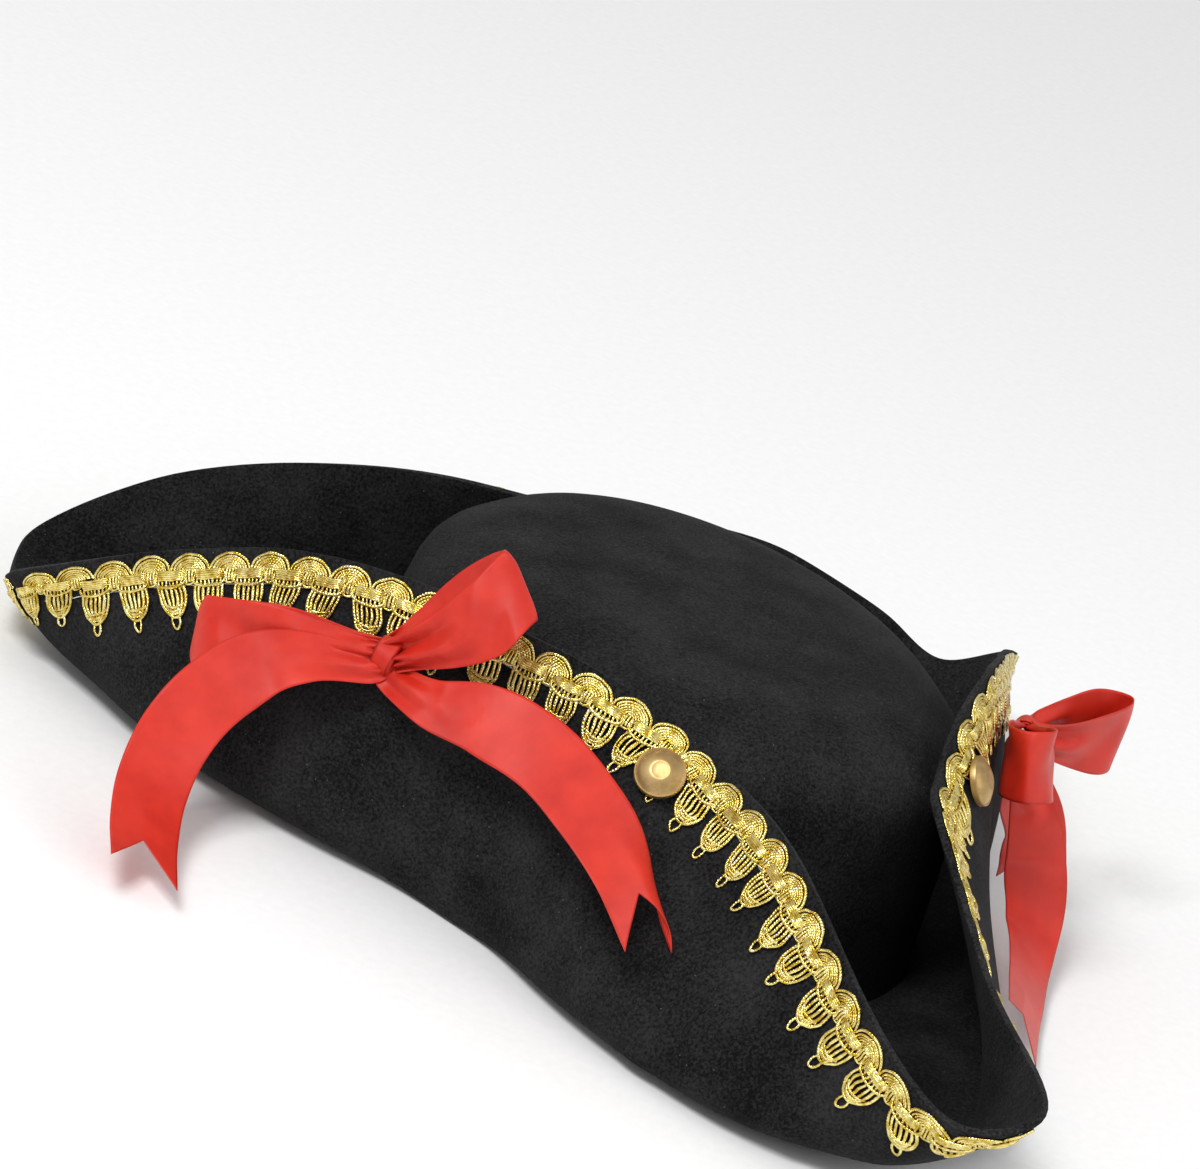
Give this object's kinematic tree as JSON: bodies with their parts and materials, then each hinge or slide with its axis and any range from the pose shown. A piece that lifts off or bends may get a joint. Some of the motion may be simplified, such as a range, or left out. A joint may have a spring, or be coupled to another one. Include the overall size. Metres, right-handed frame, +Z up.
{
  "type": "tricorn hat",
  "caption": "Black felt tricorn hat with a turned-up three-cornered brim, gold bell braid along its edge, and a brass stud and red satin bow on each side flap.",
  "frame": {"origin": "centre of the head opening, on the surface that the hat rests on", "axes": "+Z up through the crown, -Y to the front corner, which the wearer faces, +X to the wearer's left"},
  "size_m": [0.3861, 0.372, 0.1096],
  "materials": {
    "felt": "matte wool felt with a fine fuzz",
    "gold_braid": "metallic gold gimp thread",
    "stud_brass": "satin",
    "red_satin": "satin ribbon with a soft sheen"
  },
  "bodies": {
    "root": {"hat_body": "felt", "braid_right": "gold_braid", "braid_left": "gold_braid", "braid_back": "gold_braid", "stud_right": "stud_brass", "stud_left": "stud_brass", "bow_right_knot": "red_satin", "bow_right_front_loop": "red_satin", "bow_right_back_loop": "red_satin", "bow_right_front_tail": "red_satin", "bow_right_back_tail": "red_satin", "bow_left_knot": "red_satin", "bow_left_front_loop": "red_satin", "bow_left_back_loop": "red_satin", "bow_left_front_tail": "red_satin", "bow_left_back_tail": "red_satin"}
  },
  "joints": []
}
